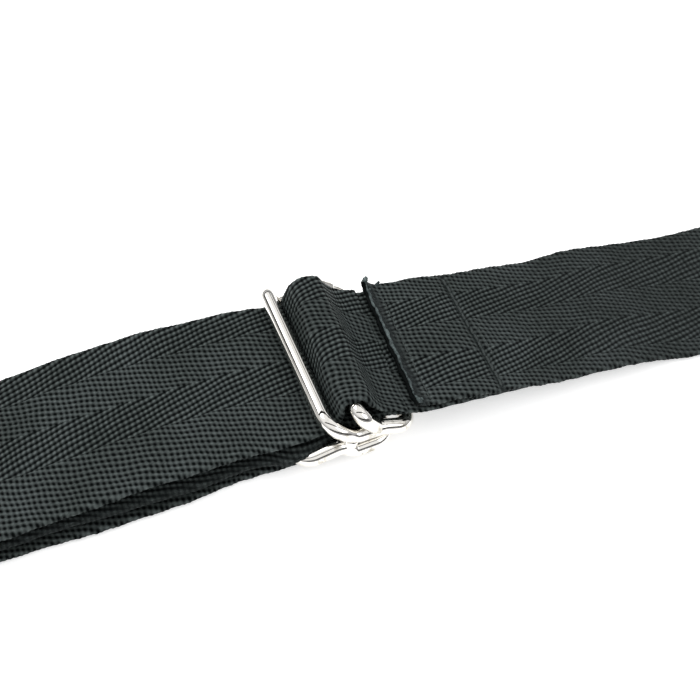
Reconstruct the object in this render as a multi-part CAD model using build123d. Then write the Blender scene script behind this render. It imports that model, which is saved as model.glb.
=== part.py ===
from build123d import *
import os
import math

# Guitar strap laid out flat on its back, at its shortest setting.
# mm, +Z up, +X along the strap towards the shoulder end, z = 0 is the surface it lies on.
# The origin is the middle of the strap at floor level, under the left bar of the upper slider wire.

# ---- driving dimensions ----
WEB_W = 50.0            # webbing width
WEB_T = 1.5             # webbing thickness
RUN_BOT, RUN_TOP = 9.6, 11.2   # adjuster run through the slider
WIRE = 4.5              # wire diameter of slider and ring
RAIL_Y = 27.75          # side rails' centres
CLEAR = 0.35            # gap between bodies that slide on each other
TRAVEL = 280.0          # slider travel along the strap
HALF_LEN = 460.0        # from the origin to each end

RING_X, RING_Z = -318.0, 6.45    # ring bar that the adjuster run turns round
TAIL_X, TAIL_Z = -342.0, 4.05    # ring bar that the tail loop hangs on
HALF_PLY_X = -155.0              # left of this the run is two half-thickness plies

LAP_X = 27.0            # cut end of the shoulder webbing
LAP_END_X = 66.0        # where the adjuster webbing ends under it
SLOPE_TOP = (42.0, 12.05)
SLOPE_FOOT = (94.0, 0.8)

LEATHER_X0 = 388.0      # leather end starts here
LEATHER_T = 1.8
LEATHER_W = 56.0
TIP_R = 18.0
HOLE_R = 4.25
HOLE_X = HALF_LEN - TIP_R
STITCH = (2.6, 0.7, 0.45)

os.makedirs("parts", exist_ok=True)


# ---- helpers ----
def pieces_of_path(pts, radii):
    """Straight and round pieces of a filleted path in the XZ plane."""
    cur, out = pts[0], []
    for i in range(1, len(pts) - 1):
        p, q, n, r = pts[i - 1], pts[i], pts[i + 1], radii[i - 1]
        a = math.atan2(q[1] - p[1], q[0] - p[0])
        b = math.atan2(n[1] - q[1], n[0] - q[0])
        turn = (b - a + math.pi) % (2 * math.pi) - math.pi
        if abs(turn) < 1e-6 or r <= 0:
            out.append(("L", cur, q))
            cur = q
            continue
        cut = r * math.tan(abs(turn) / 2)
        s = (q[0] - cut * math.cos(a), q[1] - cut * math.sin(a))
        e = (q[0] + cut * math.cos(b), q[1] + cut * math.sin(b))
        side = 1 if turn > 0 else -1
        c = (s[0] - side * r * math.sin(a), s[1] + side * r * math.cos(a))
        if math.dist(cur, s) > 1e-5:
            out.append(("L", cur, s))
        out.append(("A", s, e, c, r, side))
        cur = e
    if math.dist(cur, pts[-1]) > 1e-5:
        out.append(("L", cur, pts[-1]))
    return out


def moved(piece, d):
    """The same piece shifted by d to the left of its direction."""
    if piece[0] == "L":
        _, p, q = piece
        a = math.atan2(q[1] - p[1], q[0] - p[0])
        n = (-math.sin(a) * d, math.cos(a) * d)
        return ("L", (p[0] + n[0], p[1] + n[1]), (q[0] + n[0], q[1] + n[1]))
    _, s, e, c, r, side = piece
    k = (r - side * d) / r
    f = lambda p: (c[0] + (p[0] - c[0]) * k, c[1] + (p[1] - c[1]) * k)
    return ("A", f(s), f(e), c, r - side * d, side)


def edge_of(piece, y):
    if piece[0] == "L":
        (a, b), (c, d) = piece[1], piece[2]
        return Edge.make_line((a, y, b), (c, y, d))
    _, s, e, c, r, side = piece
    m = ((s[0] + e[0]) / 2 - c[0], (s[1] + e[1]) / 2 - c[1])
    k = r / math.hypot(*m)
    mid = (c[0] + m[0] * k, c[1] + m[1] * k)
    return Edge.make_three_point_arc((s[0], y, s[1]), (mid[0], y, mid[1]), (e[0], y, e[1]))


def ribbon(pts, radii, t, w):
    """A strip of thickness t and width w whose middle follows the path."""
    path = pieces_of_path(pts, radii)
    up, down = [moved(p, t / 2) for p in path], [moved(p, -t / 2) for p in path]
    y = -w / 2
    edges = [edge_of(p, y) for p in up] + [edge_of(p, y) for p in down]
    edges.append(edge_of(("L", up[0][1], down[0][1]), y))
    edges.append(edge_of(("L", up[-1][2], down[-1][2]), y))
    face = Face(Wire(edges))
    return Solid.extrude(face, Vector(0, w, 0))


def block(x0, x1, z0, z1, w, y=0.0):
    return Pos((x0 + x1) / 2, y, (z0 + z1) / 2) * Box(x1 - x0, w, z1 - z0)


def wire_solid(pts, radii, d, closed):
    """A round wire along a filleted path in space."""
    n = len(pts)
    P = [Vector(*p) for p in pts]
    edges, ends = [], []
    corners = range(n) if closed else range(1, n - 1)
    cut = {}
    for i in corners:
        a, b, c = P[i - 1], P[i], P[(i + 1) % n]
        u, v = (a - b).normalized(), (c - b).normalized()
        ang = math.acos(max(-1, min(1, u.dot(v))))
        r = radii[i] if closed else radii[i - 1]
        t = r / math.tan(ang / 2)
        s, e = b + u * t, b + v * t
        bis = (u + v).normalized()
        mid = b + bis * (r / math.sin(ang / 2) - r)
        cut[i] = (s, e, mid)
    seq = list(range(n))
    for k in range(n if closed else n - 1):
        i, j = seq[k], seq[(k + 1) % n]
        s = cut[i][1] if i in cut else P[i]
        e = cut[j][0] if j in cut else P[j]
        if (e - s).length > 1e-4:
            edges.append(Edge.make_line(s, e))
        if j in cut:
            edges.append(Edge.make_three_point_arc(cut[j][0], cut[j][2], cut[j][1]))
    path = Wire(edges)
    start = edges[0] @ 0
    section = Face(Wire([Edge.make_circle(d / 2, Plane(start, z_dir=edges[0] % 0))]))
    return sweep(sections=section, path=path)


def save(shape, name):
    solids = list(shape.solids())
    keep = solids[0] if len(solids) == 1 else Compound(children=solids)
    keep.label = name
    export_step(keep, f"parts/{name}.step")


def stitch_row(x0, y0, x1, y1, z, pitch):
    """Separate stitches lying on a surface, in a straight row."""
    length = math.hypot(x1 - x0, y1 - y0)
    n = int(length // pitch)
    a = math.degrees(math.atan2(y1 - y0, x1 - x0))
    out = []
    for i in range(n):
        f = (i + 0.5) / n
        x, y = x0 + (x1 - x0) * f, y0 + (y1 - y0) * f
        b = Box(*STITCH)
        b = fillet(b.edges().group_by(Axis.Z)[-1], 0.2)
        out.append(Pos(x, y, z + STITCH[2] / 2 + 0.01) * (Rot(0, 0, a) * b))
    return out


# ---- shoulder webbing and adjuster webbing (root body) ----
a = math.atan2(SLOPE_FOOT[1] - SLOPE_TOP[1], SLOPE_FOOT[0] - SLOPE_TOP[0])
down = (math.sin(a), -math.cos(a))
gap = WEB_T + 0.1
mid_run = (RUN_BOT + RUN_TOP) / 2
leather_mid = LEATHER_T + 0.05 + WEB_T / 2
shoulder = ribbon(
    [(LAP_X, SLOPE_TOP[1]), SLOPE_TOP, SLOPE_FOOT, (378.0, WEB_T / 2 + 0.05),
     (388.0, leather_mid), (415.0, leather_mid)],
    [60.0, 80.0, 12.0, 12.0], WEB_T, WEB_W)
save(shoulder, "shoulder_webbing")

on_slope = (SLOPE_TOP[0] + gap * down[0], SLOPE_TOP[1] + gap * down[1])
bend_x = on_slope[0] + (mid_run - on_slope[1]) / math.tan(a)
end_z = mid_run + (LAP_END_X - bend_x) * math.tan(a)
run = ribbon([(HALF_PLY_X, mid_run), (bend_x, mid_run), (LAP_END_X, end_z)],
             [60.0 - gap], WEB_T, WEB_W)
half = block(RING_X + 3.0, HALF_PLY_X + 1.0, mid_run + WEB_T / 2 - 0.6, mid_run + WEB_T / 2, WEB_W)
save(run + half, "adjuster_webbing")

# lap stitch rows on the shoulder webbing, one before and one on the slope
row1 = stitch_row(32.5, -23.0, 32.5, 23.0, SLOPE_TOP[1] + WEB_T / 2, 3.3)
save(Compound(children=row1), "lap_stitch_row_front")
x2 = 52.0
z2 = SLOPE_TOP[1] + (x2 - SLOPE_TOP[0]) * math.tan(a)
top2 = (x2 - down[0] * WEB_T / 2, z2 - down[1] * WEB_T / 2)
flat2 = stitch_row(0, -23.0, 0, 23.0, 0.04, 3.3)
row2 = [Pos(top2[0], 0, top2[1]) * (Rot(0, -math.degrees(a), 0) * s) for s in flat2]
save(Compound(children=row2), "lap_stitch_row_rear")


# ---- leather ends ----
def planform(sign, z0, z1):
    """Outline of a leather end seen from above, with its button hole and slit."""
    w, x0, xm, xt = LEATHER_W / 2, LEATHER_X0, 416.0, HALF_LEN
    c = HOLE_X
    ang = math.radians(62)
    tx, ty = c + TIP_R * math.cos(ang), TIP_R * math.sin(ang)
    e = [
        Edge.make_line((x0, -w, 0), (x0, w, 0)),
        Edge.make_line((x0, w, 0), (xm, w, 0)),
        Edge.make_line((xm, w, 0), (tx, ty, 0)),
        Edge.make_three_point_arc((tx, ty, 0), (xt, 0, 0), (tx, -ty, 0)),
        Edge.make_line((tx, -ty, 0), (xm, -w, 0)),
        Edge.make_line((xm, -w, 0), (x0, -w, 0)),
    ]
    body = Pos(0, 0, z0) * Solid.extrude(Face(Wire(e)), Vector(0, 0, z1 - z0))
    upright = body.edges().filter_by(Axis.Z)
    near = [k for k in upright if k.center().X < x0 + 1 or abs(k.center().X - xm) < 1]
    body = fillet(near, 4.0)
    body -= Pos(c, 0, (z0 + z1) / 2) * Cylinder(HOLE_R, z1 - z0 + 2)
    body -= block(c - HOLE_R - 13.0, c - HOLE_R + 1.0, z0 - 1, z1 + 1, 1.0)
    return body if sign > 0 else mirror(body, Plane.YZ)


def leather(sign, name):
    s = sign
    z_over = LEATHER_T + 0.1 + WEB_T + LEATHER_T / 2
    z_shut = LEATHER_T + 0.05 + LEATHER_T / 2
    pts = [(s * (LEATHER_X0 - 1), z_over), (s * 417.0, z_over), (s * 425.0, z_shut), (s * (HALF_LEN + 1), z_shut)]
    strip = ribbon(pts, [10.0, 10.0], LEATHER_T, LEATHER_W + 4)
    save(strip & planform(s, -1.0, 8.0), f"{name}_leather_top")
    save(planform(s, 0.0, LEATHER_T), f"{name}_leather_bottom")
    z = z_over + LEATHER_T / 2
    edge = LEATHER_W / 2 - 3.2
    rows = stitch_row(s * (LEATHER_X0 + 4), -edge, s * (LEATHER_X0 + 4), edge, z, 3.6)
    rows += stitch_row(s * (LEATHER_X0 + 6), edge, s * 415.0, edge, z, 3.6)
    rows += stitch_row(s * (LEATHER_X0 + 6), -edge, s * 415.0, -edge, z, 3.6)
    rows += stitch_row(s * 413.0, -edge + 3, s * 413.0, edge - 3, z, 3.6)
    save(Compound(children=rows), f"{name}_leather_stitches")


leather(1, "shoulder")
leather(-1, "tail")

# ---- slider body: two wire frames, their middle bars, hump and sewn fold ----
Y = RAIL_Y
UP_L, UP_R = (0.0, 14.6), (23.5, 7.0)
BAR_Z, BAR_NEAR, BAR_FAR = 16.8, 8.6, 10.8   # raised middle bar, set a little askew
RAIL_Z = 9.6
near = [(UP_L[0], UP_L[1]), (7.5, RAIL_Z), (15.0, RAIL_Z), UP_R]
pts = [(x, -Y, z) for x, z in near] + [(x, Y, z) for x, z in reversed(near)]
save(wire_solid(pts, [6.0, 4.5, 4.5, 4.2, 4.2, 4.5, 4.5, 6.0], WIRE, True), "upper_slider_frame")

pts = [(13.8, -Y, RAIL_Z + 0.8), (BAR_NEAR, -Y, BAR_Z), (BAR_FAR, Y, BAR_Z), (15.4, Y, RAIL_Z + 0.8)]
save(wire_solid(pts, [3.2, 3.2], WIRE, False), "upper_centre_bar")

LO_L, LO_C, LO_R = (-8.0, 3.9), (5.0, 4.9), (17.3, 5.0)
near = [LO_L, (3.6, 6.7), (7.4, 3.7), LO_R]       # the rails rise, dip beside the middle bar and rise again
pts = [(x, -Y, z) for x, z in near] + [(x, Y, z) for x, z in reversed(near)]
save(wire_solid(pts, [4.5, 2.6, 2.6, 4.2, 4.2, 2.6, 2.6, 4.5], WIRE, True), "lower_slider_frame")

pts = [(LO_C[0] + 1.4, -Y, RAIL_Z - 0.6), (LO_C[0], -Y, LO_C[1]), (LO_C[0], Y, LO_C[1]), (LO_C[0] + 1.4, Y, RAIL_Z - 0.6)]
save(wire_solid(pts, [2.9, 2.9], WIRE, False), "lower_centre_bar")

hump = ribbon([(4.1, 12.35), (6.05, 19.87), (13.2, 19.87), (17.6, 12.35)], [3.3, 3.3], WEB_T, WEB_W)
save(hump, "hump_webbing")

FOLD_END = LO_L[0] - 155.0
r = WIRE / 2 + 0.05 + WEB_T / 2
fold = ribbon(
    [(FOLD_END, WEB_T / 2), (-4.0, WEB_T / 2), (1.6, LO_C[1] - r), (LO_C[0] + r, LO_C[1] - r),
     (LO_C[0] + r, LO_C[1] + r), (LO_C[0] - 1.0, LO_C[1] + r), (LO_L[0], LO_L[1] + r + 0.15),
     (-22.0, 3.6 + WEB_T / 2), (FOLD_END, 3.6 + WEB_T / 2)],
    [6.0, 6.0, r, r, 8.0, 8.0, 20.0], WEB_T, WEB_W)
save(fold, "return_webbing_fold")
rows = stitch_row(-40.0, -22.0, -40.0, 22.0, 5.1, 3.4) + stitch_row(-62.0, -22.0, -62.0, 22.0, 5.1, 3.4)
save(Compound(children=rows), "fold_stitches")

# ---- ring body ----
ring_pts = [(RING_X, -Y, RING_Z), (TAIL_X, -Y, TAIL_Z), (TAIL_X, Y, TAIL_Z), (RING_X, Y, RING_Z)]
save(wire_solid(ring_pts, [4.5, 2.8, 2.8, 4.5], WIRE, True), "tail_ring")
rr = (RUN_BOT - 3.3) / 2 + WEB_T / 2
turn = ribbon(
    [(RING_X + 2.4, RING_Z + rr), (RING_X - rr, RING_Z + rr), (RING_X - rr, RING_Z - rr), (-153.0, RING_Z - rr)],
    [rr, rr], WEB_T, WEB_W)
ply = block(RING_X + 1.0, HALF_PLY_X - 3.3, RUN_BOT, RUN_BOT + 0.6, WEB_W)
save(turn + ply, "ring_turn_webbing")

# ---- tail body ----
tr = WIRE / 2 + 0.3 + WEB_T / 2
lap = 2.27
tail = ribbon(
    [(-415.0, leather_mid), (-386.0, leather_mid), (-378.0, WEB_T / 2), (TAIL_X + tr, WEB_T / 2),
     (TAIL_X + tr, TAIL_Z + tr), (TAIL_X - 2.0, TAIL_Z + tr), (-357.0, lap + 0.03), (-374.5, lap + 0.03)],
    [9.0, 9.0, tr, tr, 8.0, 14.0], WEB_T, WEB_W)
save(tail, "tail_webbing")
rows = stitch_row(-362.5, -22.0, -362.5, 22.0, lap + 0.03 + WEB_T / 2, 3.4)
rows += stitch_row(-371.5, -22.0, -371.5, 22.0, lap + 0.03 + WEB_T / 2, 3.4)
save(Compound(children=rows), "tail_stitches")
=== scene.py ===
import bpy, bmesh, math
import numpy as np
from mathutils import Vector, Matrix


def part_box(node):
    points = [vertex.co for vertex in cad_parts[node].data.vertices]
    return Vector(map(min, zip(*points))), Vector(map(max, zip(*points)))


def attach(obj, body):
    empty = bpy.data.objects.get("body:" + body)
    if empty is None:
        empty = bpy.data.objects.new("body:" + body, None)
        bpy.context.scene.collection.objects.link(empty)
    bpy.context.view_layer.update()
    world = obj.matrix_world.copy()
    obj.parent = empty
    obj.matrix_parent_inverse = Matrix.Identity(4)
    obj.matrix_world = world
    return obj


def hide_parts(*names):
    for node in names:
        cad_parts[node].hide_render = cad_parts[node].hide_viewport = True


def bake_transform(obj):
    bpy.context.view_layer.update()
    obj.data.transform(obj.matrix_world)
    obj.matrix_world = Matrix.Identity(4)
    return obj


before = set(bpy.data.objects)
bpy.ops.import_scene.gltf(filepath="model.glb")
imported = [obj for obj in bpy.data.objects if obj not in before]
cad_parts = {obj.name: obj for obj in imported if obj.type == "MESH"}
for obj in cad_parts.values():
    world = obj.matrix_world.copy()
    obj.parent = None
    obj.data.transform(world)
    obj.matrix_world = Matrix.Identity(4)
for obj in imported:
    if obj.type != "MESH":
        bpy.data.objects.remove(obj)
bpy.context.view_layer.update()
MM = 0.001
rng = np.random.default_rng(20260)

# ------------------------------------------------------------------ places, from the frame
def B(n):
    lo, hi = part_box(n)
    return np.array(lo) / MM, np.array(hi) / MM

WEB_W, WEB_T, WIRE, Y = 50.0, 1.5, 4.5, 27.75
adj_lo, adj_hi = B("adjuster_webbing")
RUN_TOP = adj_hi[2]                       # top of the run
MID = RUN_TOP - WEB_T / 2
sh_lo, sh_hi = B("shoulder_webbing")
LAP_X, SH_END = sh_lo[0], sh_hi[0]
SH_Z = sh_hi[2] - WEB_T / 2               # middle of the shoulder webbing on the lap
us_lo, us_hi = B("upper_slider_frame")
ls_lo, ls_hi = B("lower_slider_frame")
ring_lo, ring_hi = B("tail_ring")
BAR0 = us_lo[0] + WIRE / 2                # left bar of the upper frame
UP_L = (BAR0, us_hi[2] - WIRE / 2)
UP_R = (us_hi[0] - WIRE / 2, us_lo[2] + WIRE / 2)
uc_lo, uc_hi = B("upper_centre_bar")
UP_C = (uc_lo[0] + WIRE / 2, uc_hi[2] - WIRE / 2)      # near end of the raised bar; its far end stands 2.2 mm further along
RAIL_Z = 9.6
LO_L = (ls_lo[0] + WIRE / 2, ls_lo[2] + WIRE / 2)
LO_R = (ls_hi[0] - WIRE / 2, 5.0)
lc_lo, lc_hi = B("lower_centre_bar")
LO_C = (lc_lo[0] + WIRE / 2, lc_lo[2] + WIRE / 2)
RING = (ring_hi[0] - WIRE / 2, ring_hi[2] - WIRE / 2)
TAIL = (ring_lo[0] + WIRE / 2, ring_lo[2] + WIRE / 2)
FOLD_END = B("return_webbing_fold")[0][0]
RET_END = B("ring_turn_webbing")[1][0]
TAIL_END = B("tail_webbing")[0][0]
LT = 1.8
LEATHER_MID = LT + 0.05 + WEB_T / 2

# ------------------------------------------------------------------ node expressions
class Tree:
    def __init__(self, name):
        self.mat = bpy.data.materials.new(name)
        self.mat.use_nodes = True
        self.nt = self.mat.node_tree
        self.nt.nodes.clear()
        self.out = self.nt.nodes.new("ShaderNodeOutputMaterial")
        self.p = self.nt.nodes.new("ShaderNodeBsdfPrincipled")
        self.nt.links.new(self.p.outputs[0], self.out.inputs[0])

    def new(self, kind, **kw):
        n = self.nt.nodes.new(kind)
        for k, v in kw.items():
            setattr(n, k, v)
        return n

    def put(self, sock, v):
        if isinstance(v, E):
            self.nt.links.new(v.s, sock)
        elif isinstance(v, bpy.types.NodeSocket):
            self.nt.links.new(v, sock)
        else:
            sock.default_value = v

    def math(self, op, *a, clamp=False):
        n = self.new("ShaderNodeMath", operation=op, use_clamp=clamp)
        for i, v in enumerate(a):
            self.put(n.inputs[i], v)
        return E(self, n.outputs[0])

    def vec(self, x, y, z):
        n = self.new("ShaderNodeCombineXYZ")
        for i, v in enumerate((x, y, z)):
            self.put(n.inputs[i], v)
        return n.outputs[0]

    def noise(self, vector, scale, detail=2.0, rough=0.5, dist=0.0):
        n = self.new("ShaderNodeTexNoise")
        self.nt.links.new(vector, n.inputs["Vector"])
        n.inputs["Scale"].default_value = scale
        n.inputs["Detail"].default_value = detail
        n.inputs["Roughness"].default_value = rough
        n.inputs["Distortion"].default_value = dist
        return E(self, n.outputs["Fac"])

    def mix(self, f, a, b):
        n = self.new("ShaderNodeMix", data_type="RGBA")
        self.put(n.inputs["Factor"], f)
        for nm, v in ((6, a), (7, b)):
            if isinstance(v, (tuple, list)):
                n.inputs[nm].default_value = (*v, 1.0) if len(v) == 3 else v
            else:
                self.put(n.inputs[nm], v)
        return n.outputs[2]

    def bump(self, h, strength, distance, normal=None):
        n = self.new("ShaderNodeBump")
        n.inputs["Strength"].default_value = strength
        n.inputs["Distance"].default_value = distance
        self.put(n.inputs["Height"], h)
        if normal is not None:
            self.nt.links.new(normal, n.inputs["Normal"])
        return n.outputs["Normal"]


class E:
    def __init__(self, t, s):
        self.t, self.s = t, s
    def __add__(self, o): return self.t.math("ADD", self, o)
    __radd__ = __add__
    def __sub__(self, o): return self.t.math("SUBTRACT", self, o)
    def __rsub__(self, o): return self.t.math("SUBTRACT", o, self)
    def __mul__(self, o): return self.t.math("MULTIPLY", self, o)
    __rmul__ = __mul__
    def __truediv__(self, o): return self.t.math("DIVIDE", self, o)
    def floor(self): return self.t.math("FLOOR", self)
    def cos(self): return self.t.math("COSINE", self)
    def clamp(self): return self.t.math("MULTIPLY", self, 1.0, clamp=True)


# ------------------------------------------------------------------ herringbone twill
PICK, LINE, LEAN, COL = 0.66, 0.58, 0.165, 11.7    # picks and twill lines per mm, lean of the lines, column width in mm

def weave_height(s, y):
    """Height of the twill surface, 0 to 1, at s along and y across, mm."""
    par = np.mod(np.maximum(np.floor(y / COL), -2), 2)              # 1 where the lines climb away from the near edge
    rl = 0.5 + 0.5 * np.cos(2 * np.pi * (LINE * y - (2 * par - 1) * LEAN * s))
    rp = 0.5 + 0.5 * np.cos(2 * np.pi * PICK * s)
    gl, gp = (1 - rl) ** 1.2, (1 - rp) ** 1.2
    bold = 1.04 * (1 - 0.68 * gl) * (1 - 0.40 * gp) - 0.16 * gl * gp
    soft = 0.90 - 0.30 * gl - 0.20 * gp - 0.40 * gl * gp
    return np.clip(par * bold + (1 - par) * soft, 0, 1)


def webbing_material(name):
    t = Tree(name)
    a = t.new("ShaderNodeAttribute", attribute_name="weave")
    sep = t.new("ShaderNodeSeparateXYZ")
    t.nt.links.new(a.outputs["Vector"], sep.inputs[0])
    s, y, mask = (E(t, sep.outputs[i]) for i in range(3))
    flat = t.vec(s, y, 0.0)
    par = t.math("MODULO", t.math("MAXIMUM", (y / COL).floor(), -2.0) + 40.0, 2.0)
    tau = 2 * math.pi
    rl = ((y * LINE - (par * 2.0 - 1.0) * s * LEAN) * tau).cos() * 0.5 + 0.5
    rp = (s * (PICK * tau)).cos() * 0.5 + 0.5
    gl = t.math("POWER", (1.0 - rl).clamp(), 1.2)
    gp = t.math("POWER", (1.0 - rp).clamp(), 1.2)
    bold = (1.0 - gl * 0.68) * (1.0 - gp * 0.40) * 1.04 - gl * gp * 0.16
    soft = 0.90 - gl * 0.30 - gp * 0.20 - gl * gp * 0.40
    h = (bold * par + soft * (1.0 - par)).clamp()
    fine = t.noise(flat, 5.0, 3.0, 0.6)
    yarn = t.noise(t.vec(s * 0.66, y * 1.2, 3.0), 1.0, 2.0, 0.6)
    fuzz = t.noise(t.vec(s * 2.2, y * 7.0, 2.0), 1.6, 3.0, 0.65)
    broad = t.noise(flat, 0.045, 2.0)
    lift = h * (1.0 - mask) + mask * (0.44 + (fine - 0.5) * 1.5 + (yarn - 0.5) * 0.5)
    gain = 0.52 + yarn * 0.74 + (broad - 0.5) * 0.40 + (fine - 0.5) * 0.46
    # colour follows the weave height: near black in the hollows between the yarns, grey on their tops; the dark hollows
    # are painted shade
    v = t.math("POWER", (lift * gain * 1.06).clamp(), 2.1)
    col = t.mix(v, (0.0012, 0.0019, 0.0019), (0.084, 0.103, 0.098))
    col = t.mix((broad * 2.2 - 0.75).clamp() * 0.35, col, t.mix(v, (0.0012, 0.0017, 0.0022), (0.078, 0.091, 0.101)))
    col = t.mix(((fuzz - 0.56) * 1.6).clamp() * 0.35, col, (0.055, 0.066, 0.063))
    # a high mask turns the colour to the dark bluish grey of melted nylon; the stitch-groove and fold-edge masks reuse
    # it as painted shade
    col = t.mix((mask * 1.6 - 0.55).clamp() * (0.45 + (yarn - 0.5) * 1.2).clamp(), col, (0.0095, 0.0155, 0.0165))
    t.nt.links.new(col, t.p.inputs["Base Color"])
    t.put(t.p.inputs["Roughness"], 0.62 - mask * 0.10 + (fine - 0.5) * 0.15)
    t.put(t.p.inputs["Specular IOR Level"], (v * 0.30 + 0.01 + mask * 0.08).clamp())
    hh = lift + (fuzz - 0.5) * 0.22 + (fine - 0.5) * 0.16
    t.nt.links.new(t.bump(hh, 0.8, 0.00030), t.p.inputs["Normal"])
    return t.mat


def melt_material(name):
    """Nylon that was melted along a cut: hard, uneven and mottled; its pale patches are partly painted highlight along
    the lip.
    """
    t = Tree(name)
    co = t.new("ShaderNodeTexCoord")
    n = t.noise(co.outputs["Object"], 900.0, 3.0, 0.6)
    m = t.noise(co.outputs["Object"], 240.0, 2.0)
    t.nt.links.new(t.mix((n * 2.4 - 0.85).clamp() * (m * 1.7 - 0.20).clamp(), (0.018, 0.027, 0.028), (0.180, 0.226, 0.224)), t.p.inputs["Base Color"])
    t.put(t.p.inputs["Roughness"], 0.34 + n * 0.3)
    t.p.inputs["Specular IOR Level"].default_value = 0.28
    t.nt.links.new(t.bump(n + m, 0.7, 0.00025), t.p.inputs["Normal"])
    return t.mat


def thread_material(name, tint=(0.020, 0.0275, 0.0265)):
    t = Tree(name)
    co = t.new("ShaderNodeTexCoord")
    n = t.noise(co.outputs["Object"], 2600.0, 2.0)
    w = t.new("ShaderNodeTexWave", wave_type="BANDS", bands_direction="DIAGONAL")
    w.inputs["Scale"].default_value = 900.0
    w.inputs["Distortion"].default_value = 1.0
    t.nt.links.new(co.outputs["Object"], w.inputs["Vector"])
    wv = E(t, w.outputs["Fac"])
    t.nt.links.new(t.mix((wv * 0.7 + n * 0.3).clamp(), tuple(v * 0.45 for v in tint), tuple(v * 1.9 for v in tint)), t.p.inputs["Base Color"])
    t.put(t.p.inputs["Roughness"], 0.5 + n * 0.2)
    t.nt.links.new(t.bump(wv, 0.6, 0.00012), t.p.inputs["Normal"])
    return t.mat


def chrome_material(name):
    t = Tree(name)
    co = t.new("ShaderNodeTexCoord")
    n = t.noise(co.outputs["Object"], 90.0, 3.0, 0.55)
    spots = t.noise(co.outputs["Object"], 330.0, 3.0, 0.6)
    x, y, z = (E(t, t_sep(t, co, i)) for i in range(3))
    scratch = t.noise(t.vec(x * 1500.0, y * 120.0, z * 900.0), 1.0, 3.0, 0.6)
    # dark olive patches where the wires meet beside the webbing: painted dark reflection and shade
    ends = ((t.math("ABSOLUTE", y) - 0.0240) * 500.0).clamp()
    painted_dark_reflection = ends * (spots * 5.0 - 2.75).clamp()
    clean = t.mix((n * 1.2 - 0.2).clamp(), (0.78, 0.755, 0.70), (0.93, 0.915, 0.885))
    t.nt.links.new(t.mix(painted_dark_reflection * 0.8, clean, (0.22, 0.19, 0.12)), t.p.inputs["Base Color"])
    t.p.inputs["Metallic"].default_value = 1.0
    t.put(t.p.inputs["Roughness"], (n * 0.04 + 0.025 + (scratch - 0.5) * 0.03 + painted_dark_reflection * 0.18).clamp())
    t.nt.links.new(t.bump(scratch + n * 2.0, 0.08, 0.00008), t.p.inputs["Normal"])
    return t.mat


def t_sep(t, co, i):
    if not hasattr(t, "_sep"):
        t._sep = t.new("ShaderNodeSeparateXYZ")
        t.nt.links.new(co.outputs["Object"], t._sep.inputs[0])
    return t._sep.outputs[i]


def leather_material(name, back=False):
    t = Tree(name)
    co = t.new("ShaderNodeTexCoord")
    v = t.new("ShaderNodeTexVoronoi", feature="DISTANCE_TO_EDGE")
    v.inputs["Scale"].default_value = 620.0
    v.inputs["Randomness"].default_value = 1.0
    warp = t.new("ShaderNodeVectorMath", operation="ADD")
    nz = t.new("ShaderNodeTexNoise")
    nz.inputs["Scale"].default_value = 260.0
    nz.inputs["Detail"].default_value = 3.0
    t.nt.links.new(co.outputs["Object"], nz.inputs["Vector"])
    sc = t.new("ShaderNodeVectorMath", operation="SCALE")
    sc.inputs["Scale"].default_value = 0.0022
    t.nt.links.new(nz.outputs["Color"], sc.inputs[0])
    t.nt.links.new(co.outputs["Object"], warp.inputs[0])
    t.nt.links.new(sc.outputs[0], warp.inputs[1])
    t.nt.links.new(warp.outputs[0], v.inputs["Vector"])
    cell = E(t, v.outputs["Distance"])
    grain = t.math("POWER", (cell * 5.0).clamp(), 0.6)
    broad = t.noise(co.outputs["Object"], 45.0, 4.0, 0.6)
    dark, light = ((0.010, 0.009, 0.0085), (0.038, 0.034, 0.032)) if not back else ((0.016, 0.014, 0.012), (0.060, 0.050, 0.042))
    t.nt.links.new(t.mix((grain * 0.75 + broad * 0.35).clamp(), dark, light), t.p.inputs["Base Color"])
    t.put(t.p.inputs["Roughness"], 0.62 - grain * 0.16 + (broad - 0.5) * 0.2)
    t.p.inputs["Specular IOR Level"].default_value = 0.45
    t.nt.links.new(t.bump(grain + broad * 0.5, 0.7, 0.00022), t.p.inputs["Normal"])
    return t.mat


M_WEB = webbing_material("webbing_twill")
M_MELT = melt_material("melted_edge")
# near-black matte cut face: the webbing's cut face, and painted shade under the overhanging melted lip
M_CUT_FACE_SHADE = thread_material("cut_face_in_painted_shadow", (0.0016, 0.0026, 0.0026))
for _n in M_CUT_FACE_SHADE.node_tree.nodes:
    if _n.type == "BSDF_PRINCIPLED":
        _n.inputs["Specular IOR Level"].default_value = 0.06
M_THREAD = thread_material("sewing_thread")
M_CHROME = chrome_material("polished_wire")
M_LEATHER = leather_material("grained_leather")
M_LEATHER_B = leather_material("leather_flesh_side", back=True)

# ------------------------------------------------------------------ paths in the XZ plane
def pieces_of_path(pts, radii):
    cur, out = pts[0], []
    for i in range(1, len(pts) - 1):
        p, q, n, r = pts[i - 1], pts[i], pts[i + 1], radii[i - 1]
        a = math.atan2(q[1] - p[1], q[0] - p[0])
        b = math.atan2(n[1] - q[1], n[0] - q[0])
        turn = (b - a + math.pi) % (2 * math.pi) - math.pi
        if abs(turn) < 1e-6 or r <= 0:
            out.append(("L", cur, q)); cur = q; continue
        cut = r * math.tan(abs(turn) / 2)
        s = (q[0] - cut * math.cos(a), q[1] - cut * math.sin(a))
        side = 1 if turn > 0 else -1
        c = (s[0] - side * r * math.sin(a), s[1] + side * r * math.cos(a))
        if math.dist(cur, s) > 1e-5:
            out.append(("L", cur, s))
        out.append(("A", s, c, r, side, a, abs(turn)))
        cur = (q[0] + cut * math.cos(b), q[1] + cut * math.sin(b))
    if math.dist(cur, pts[-1]) > 1e-5:
        out.append(("L", cur, pts[-1]))
    return out


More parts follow.
